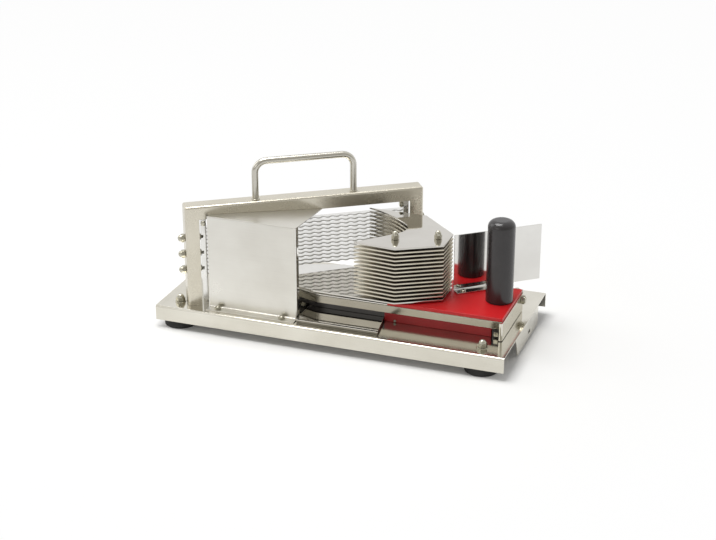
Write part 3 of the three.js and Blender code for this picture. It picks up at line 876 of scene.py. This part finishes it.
# Pusher pins: a rod with a collar between every two plates and a cap nut on top
pin = {"rod": 3.0, "collar": 4.5, "gap": 0.15, "sides": 24, "nut": (8.2, 4.4, 5.6, 3.7)}
pinProfile = [(0, boardTop), (pin["collar"], boardTop)]
for i in range(pusher["count"]):
    under = plateHeight(i) - pusher["thick"] / 2 - pin["gap"]
    over = plateHeight(i) + pusher["thick"] / 2 + pin["gap"]
    pinProfile += [(pin["collar"], under), (pin["rod"], under), (pin["rod"], over), (pin["collar"], over)]
stackTop = pinProfile[-1][1]
pinProfile[-1] = (pin["rod"], stackTop)
pinProfile.append((0, stackTop))
pinMesh = meshFrom("pin_collared", turned(pinProfile, pin["sides"]), boltSteel)
pinNutMesh = meshFrom("pin_nut", capNut(*pin["nut"]), boltSteel)
for name, (x, y) in zip(("front", "rear"), pusher["pins"]):
    addPiece(f"pin_{name}", pinMesh, "carriage", [f"pusher_pin_{name}"], at(x, y, 0))
    addPiece(f"pin_nut_{name}", pinNutMesh, "carriage", (), at(x, y, stackTop))

# Grip: turned black bar with a rounded top
grip = {
    "place": (182.5, -3), "radius": 16, "height": 100, "edge": 1.2, "edgeStep": (0.3, 0.4), "shoulder": 8.5,
    "shoulderSteps": 12, "sides": 64,
}


def gripProfile():
    radius, height, shoulder = grip["radius"], grip["height"], grip["shoulder"]
    stepIn, stepUp = grip["edgeStep"]
    profile = [(0, 0), (radius - grip["edge"], 0), (radius - stepIn, stepUp), (radius, grip["edge"])]
    for t in quarterSteps(grip["shoulderSteps"]):
        profile.append((radius - shoulder * (1 - math.cos(t)), height - shoulder * (1 - math.sin(t))))
    return profile + [(0, height)]


gripMesh = meshFrom("grip_turned", turned(gripProfile(), grip["sides"]), blackNylonAndShade)
addPiece("grip_turned", gripMesh, "carriage", ["grip"], at(*grip["place"], boardTop))

# Hand guard: a mirror-polished plate on a narrow foot with a rounded bend
shield = {
    "corner": (125.1, 4.5), "angle": 39.2, "length": 111, "height": 70, "foot": 12, "footLength": 60,
    "sheet": 1.5, "bend": 4, "edge": 0.3, "gap": 0.3, "overlap": 0.4, "screws": (9, 46), "screwLine": -7.2,
}
shieldTurn = Matrix.Rotation(math.radians(shield["angle"]), 4, "Z")
shieldPlace = at(*shield["corner"], boardTop + shield["gap"]) @ shieldTurn


def shieldSheet():
    sheet, tall, cut = shield["sheet"], shield["height"], shield["footLength"]
    section = foldedSection([(-shield["foot"], 0), (sheet, 0), (sheet, tall)], sheet, shield["bend"])
    bm = eased(skinned([[(x, y, z) for y, z in section] for x in (0, cut)]), shield["edge"])
    low, high = (cut - shield["overlap"], 0, 0), (shield["length"], sheet, tall)
    return addTo(bm, blockOf(low, high, shield["edge"]))


shieldMesh = meshFrom("hand_shield", shieldSheet(), mirrorSteel)
addPiece("hand_shield", shieldMesh, "carriage", ["hand_guard"], shieldPlace)
print("carriage made")

# Small fasteners: pan-head screws by radius and height, and low hex heads by a nut's four sizes
fastener = {
    "pan": (3.2, 2.2), "smallPan": (1.7, 1.0), "panSide": 0.3, "panTop": 0.35, "panSteps": 5,
    "guardNut": (7.5, 1.8, 2.0, 2.9), "hex": (9, 4.5, 1.2, 3.4), "smallHex": (7, 3, 0.8, 2.6),
}


def panHead(radius, height):
    side, top = fastener["panSide"], fastener["panTop"]
    profile = [(0, 0), (radius, 0), (radius, height * side)]
    for t in quarterSteps(fastener["panSteps"])[1:]:
        r, z = top + (1 - top) * math.cos(t), side + (1 - side) * math.sin(t)
        profile.append((radius * r, height * z))
    return turned(profile + [(0, height)])


panMesh = meshFrom("screw_pan", panHead(*fastener["pan"]), boltSteel)
# The small pan screw sits in the rail's shadow and takes the dark steel of painted shade.
smallPanMesh = meshFrom("screw_pan_small", panHead(*fastener["smallPan"]), paintedShadeSteel)
guardNutMesh = meshFrom("screw_guard", capNut(*fastener["guardNut"]), boltSteel)
hexMesh = meshFrom("screw_hex", capNut(*fastener["hex"]), boltSteel)
smallHexMesh = meshFrom("screw_hex_small", capNut(*fastener["smallHex"]), boltSteel)
towardsFront = Matrix.Rotation(math.pi / 2, 4, "X")
towardsRight = Matrix.Rotation(math.pi / 2, 4, "Y")
towardsLeft = Matrix.Rotation(-math.pi / 2, 4, "Y")
for i, (x, y) in enumerate(guard["screws"]):
    addPiece(f"guard_screw_{i + 1}", guardNutMesh, "stand", (), at(x, y, baseTop + guard["sheet"]))
leftPlace = inFrame(*portal["leftScrew"]) @ towardsFront
addPiece("holder_screw_left", panMesh, "stand", (), leftPlace)
rightPlace = inFrame(*portal["rightScrew"]) @ towardsLeft
addPiece("holder_screw_right", smallHexMesh, "stand", (), rightPlace)
y, z = bracket["bolt"]
boltPlace = at(bracket["outer"], y, baseTop + z) @ towardsRight
addPiece("bracket_bolt", hexMesh, "stand", (), boltPlace)
x, y, z = table["blockScrew"]
addPiece("block_screw", smallPanMesh, "stand", (), at(x, y, baseTop + z) @ towardsFront)
for i, x in enumerate(shield["screws"]):
    place = shieldPlace @ at(x, shield["screwLine"], shield["sheet"])
    addPiece(f"shield_screw_{i + 1}", panMesh, "carriage", (), place)

# Black blocks put where there is only shade, as painted shade: one under the rail's left half, and one with
# a square nut under the table's right end
shadeBlockLeft = {
    "outline": ((56.5, -45.5), (56.5, -38), (-29.5, -38), (-76, -22.2), (-76, -29.2), (-28, -45.5)),
    "low": 4.3, "high": 10.8, "edge": 0.5,
}
shadeBlockLeftMesh = plateFrom([shadeBlockLeft["outline"]], shadeBlockLeft["high"] - shadeBlockLeft["low"], shadeBlockLeft["edge"])
shadeBlockLeftMesh = meshFrom("table_shade_block_left", shadeBlockLeftMesh, blackNylonAndShade)
shadeBlockLeftPlace = at(0, 0, baseTop + (shadeBlockLeft["low"] + shadeBlockLeft["high"]) / 2)
addPiece("table_shade_block_left", shadeBlockLeftMesh, "stand", (), shadeBlockLeftPlace)
# Black block as painted shade of the recess under the table's right end, holding a square nut.
shadeBlockRight = {
    "low": (186.6, -46, 0), "high": (198.6, -20, 10.6), "edge": 0.4, "nut": (192, -46, 4.6),
    "nutHalf": 2.7, "nutThick": 3, "nutEdge": 0.5,
}
shadeBlockRightMesh = meshFrom("table_shade_block_right", blockOf(shadeBlockRight["low"], shadeBlockRight["high"], shadeBlockRight["edge"]), blackNylonAndShade)
addPiece("table_shade_block_right", shadeBlockRightMesh, "stand", (), at(0, 0, baseTop))
nutHalf = shadeBlockRight["nutHalf"]
squareMesh = blockOf((-nutHalf, -nutHalf, 0), (nutHalf, nutHalf, shadeBlockRight["nutThick"]), shadeBlockRight["nutEdge"])
squareMesh = meshFrom("nut_square", squareMesh, boltSteel)
x, y, z = shadeBlockRight["nut"]
addPiece("square_nut_right", squareMesh, "stand", (), at(x, y, baseTop + z) @ towardsFront)
print("fasteners and packing made")

# Studio: white paper floor, bright behind and above the object and dim in front of it
studio = {
    "floor": "#f8f8f7", "floorHalf": 20.0, "liftNear": 0.05, "liftFar": 0.95, "near": 0.2, "far": 0.5,
    "skyAxis": (-0.31, 0.86, 0.4), "skyDiffuse": 0.55,
    "sky": ((0.0, "#bdbbb6"), (0.28, "#c5c3be"), (0.5, "#e3e1dd"), (0.68, "#fbfbfa"), (1.0, "#ffffff")),
}


# One where the camera, a mirror or glass looks straight at a surface, and zero for its soft light on others
def seenDirectly(tree):
    path = addNode(tree, "ShaderNodeLightPath")
    first = addNode(
        tree, "ShaderNodeMath", {"operation": "MAXIMUM"},
        {0: path.outputs["Is Camera Ray"], 1: path.outputs["Is Glossy Ray"]},
    )
    return addNode(
        tree, "ShaderNodeMath", {"operation": "MAXIMUM"},
        {0: first.outputs[0], 1: path.outputs["Is Transmission Ray"]},
    )


def makeFloor():
    half = studio["floorHalf"]
    corners = [(-half, -half, 0), (half, -half, 0), (half, half, 0), (-half, half, 0)]
    mesh = bpy.data.meshes.new("floor")
    mesh.from_pydata(corners, [], [(0, 1, 2, 3)])
    floor = bpy.data.objects.new("floor", mesh)
    scene.collection.objects.link(floor)
    material = bpy.data.materials.new("white_paper_sweep")
    tree = emptyTree(material)
    paper = addNode(tree, "ShaderNodeBsdfDiffuse", {"Color": linear(studio["floor"])})
    glow = addNode(tree, "ShaderNodeEmission", {"Color": (1, 1, 1, 1), "Strength": 1.0})
    seen = seenDirectly(tree)
    spot = addNode(tree, "ShaderNodeNewGeometry")
    distance = addNode(tree, "ShaderNodeVectorMath", {"operation": "LENGTH"}, {0: spot.outputs["Position"]})
    lift = addNode(
        tree, "ShaderNodeMapRange",
        {"From Min": studio["near"], "From Max": studio["far"], "To Min": studio["liftNear"],
         "To Max": studio["liftFar"], "interpolation_type": "SMOOTHSTEP"},
        {"Value": distance.outputs["Value"]},
    )
    share = addNode(
        tree, "ShaderNodeMath", {"operation": "MULTIPLY"}, {0: seen.outputs[0], 1: lift.outputs[0]},
    )
    mixed = addNode(
        tree, "ShaderNodeMixShader", links={0: share.outputs[0], 1: paper.outputs[0], 2: glow.outputs[0]},
    )
    addNode(tree, "ShaderNodeOutputMaterial", links={"Surface": mixed.outputs[0]})
    mesh.materials.append(material)


def makeSky():
    world = bpy.data.worlds.new("studio_sky")
    scene.world = world
    tree = emptyTree(world)
    place = addNode(tree, "ShaderNodeTexCoord")
    axis = tuple(Vector(studio["skyAxis"]).normalized())
    towards = addNode(
        tree, "ShaderNodeVectorMath", {"operation": "DOT_PRODUCT", 1: axis},
        {0: place.outputs["Generated"]},
    )
    height = addNode(
        tree, "ShaderNodeMapRange", {"From Min": -1.0, "From Max": 1.0},
        {"Value": towards.outputs["Value"]},
    )
    ramp = addNode(tree, "ShaderNodeValToRGB", {"stops": list(studio["sky"])}, {0: height.outputs[0]})
    strength = addNode(
        tree, "ShaderNodeMapRange", {"To Min": studio["skyDiffuse"], "To Max": 1.0},
        {"Value": seenDirectly(tree).outputs[0]},
    )
    light = addNode(
        tree, "ShaderNodeBackground", links={"Color": ramp.outputs[0], "Strength": strength.outputs[0]},
    )
    addNode(tree, "ShaderNodeOutputWorld", links={"Surface": light.outputs[0]})


lamps = (
    {
        "name": "top_softbox", "place": (-0.3, -0.05, 1.75), "aim": (0, 0, 0.05), "size": (1.0, 1.0),
        "power": 22,
    },
    {
        "name": "left_softbox", "place": (-1.6, 0.1, 1.0), "aim": (0, 0, 0.1), "size": (0.8, 1.2),
        "power": 4,
    },
    {
        "name": "front_softbox", "place": (-0.65, -1.75, 0.85), "aim": (0, 0, 0.05), "size": (1.1, 0.7),
        "power": 2.2,
    },
)


def makeLamps():
    for lamp in lamps:
        data = bpy.data.lights.new(lamp["name"], "AREA")
        data.shape = "RECTANGLE"
        data.size, data.size_y = lamp["size"]
        data.energy = lamp["power"]
        light = bpy.data.objects.new(lamp["name"], data)
        scene.collection.objects.link(light)
        light.location = lamp["place"]
        toLamp = Vector(lamp["place"]) - Vector(lamp["aim"])
        light.rotation_euler = toLamp.to_track_quat("Z", "Y").to_euler()


makeFloor()
makeSky()
makeLamps()
print("studio made")
